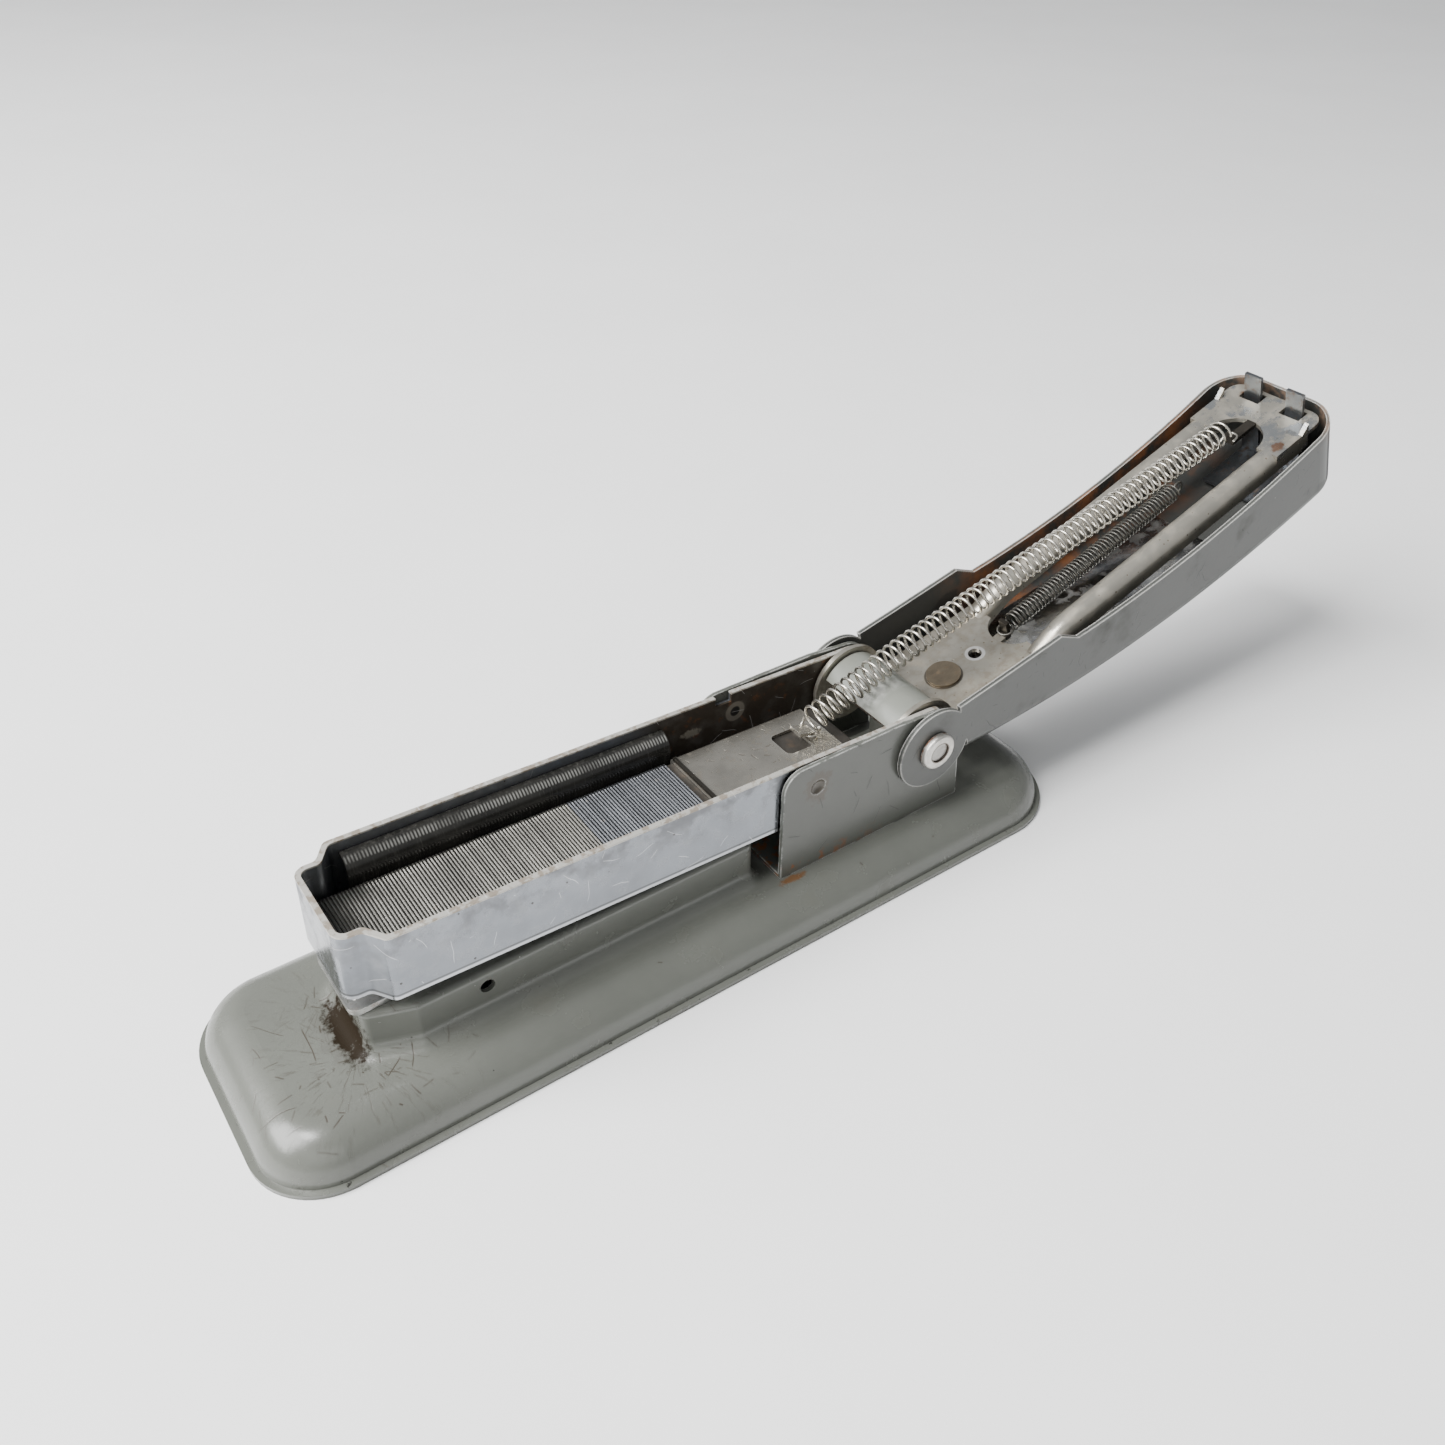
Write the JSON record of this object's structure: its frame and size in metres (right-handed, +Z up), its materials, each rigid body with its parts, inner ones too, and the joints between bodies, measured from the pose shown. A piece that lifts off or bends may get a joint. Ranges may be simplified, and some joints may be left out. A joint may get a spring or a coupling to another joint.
{
  "type": "stapler",
  "caption": "Desk stapler of pressed steel, cover laid open: base pan with anvil, chrome magazine with staples and pusher, arched cover with driver arm and coil springs.",
  "frame": {"origin": "on the table, under the middle of the open stapler's overall length, in its middle plane", "axes": "+X from the nose towards the open cover, +Y across, +Z up"},
  "size_m": [0.2078, 0.0392, 0.055],
  "materials": {
    "grey_enamel": "stoved enamel, semi-gloss, scratched",
    "grey_enamel_cover": "stoved enamel, semi-gloss, worn",
    "bright_plate": "zinc plated, dull",
    "turned_steel": "bare steel",
    "spring_wire": "bright drawn wire",
    "dark_spring_wire": "dark drawn wire",
    "black_spring_steel": "blacked, glossy",
    "rivet_steel": "plated, rust ring",
    "magazine_chrome": "chrome plate, pitted",
    "staple_wire": "galvanised wire",
    "staple_wire_dark": "galvanised wire, darker",
    "nickel_sheet": "nickel plate, worn",
    "hard_steel": "ground spring steel",
    "arm_plating": "dull chrome plate",
    "leaf_steel": "polished leaf with rust spots",
    "brown_rivet": "stained steel"
  },
  "bodies": {
    "base": {"base_pan": "grey_enamel", "anvil_spring": "spring_wire", "lift_spring": "black_spring_steel", "lift_spring_rivet": "turned_steel", "hinge_bracket": "grey_enamel", "pivot_guard": "grey_enamel", "bracket_rivet_front": "turned_steel", "bracket_rivet_rear": "turned_steel", "pivot_rivet": "rivet_steel"},
    "anvil": {"anvil_plate": "bright_plate", "anvil_pin": "turned_steel"},
    "magazine": {"magazine_channel": "magazine_chrome", "core_rail": "bright_plate", "side_guide_left": "black_spring_steel", "side_guide_right": "black_spring_steel", "staple_strip_front": "staple_wire", "staple_strip_rear": "staple_wire_dark"},
    "pusher": {"pusher": "nickel_sheet"},
    "arm": {"driver_arm": "arm_plating", "arm_leaf": "leaf_steel", "arm_rivet": "brown_rivet", "return_spring": "dark_spring_wire", "follower_spring": "spring_wire"},
    "cover": {"cover_shell": "grey_enamel_cover", "driver_blade": "hard_steel", "blade_rivet": "turned_steel"}
  },
  "joints": [
    {"name": "arm_swing", "type": "hinge", "parent": "base", "child": "arm", "pos_m": [0.00803, 0, 0.0203], "axis": [0, -1, 0], "range_deg": [0, 153.5], "deforming": ["follower_spring"]},
    {"name": "cover_stroke", "type": "hinge", "parent": "arm", "child": "cover", "pos_m": [0.00803, 0, 0.0203], "axis": [0, -1, 0], "range_deg": [0, 5.5], "stiffness_Nm_per_rad": 0.15, "springref_deg": -8.59, "deforming": ["arm_leaf"]},
    {"name": "magazine_press", "type": "hinge", "parent": "base", "child": "magazine", "pos_m": [0.00803, 0, 0.0203], "axis": [0, -1, 0], "range_deg": [0, 1.85], "stiffness_Nm_per_rad": 1.2, "springref_deg": -4.58, "deforming": ["lift_spring"]},
    {"name": "pusher_slide", "type": "slide", "parent": "magazine", "child": "pusher", "axis": [-0.9992, 0, 0.039], "range_m": [-0.003, 0.0011]},
    {"name": "anvil_turn", "type": "hinge", "parent": "base", "child": "anvil", "pos_m": [-0.08157, 0, 0.0151], "axis": [0, 0, 1], "range_deg": [0, 180]}
  ]
}
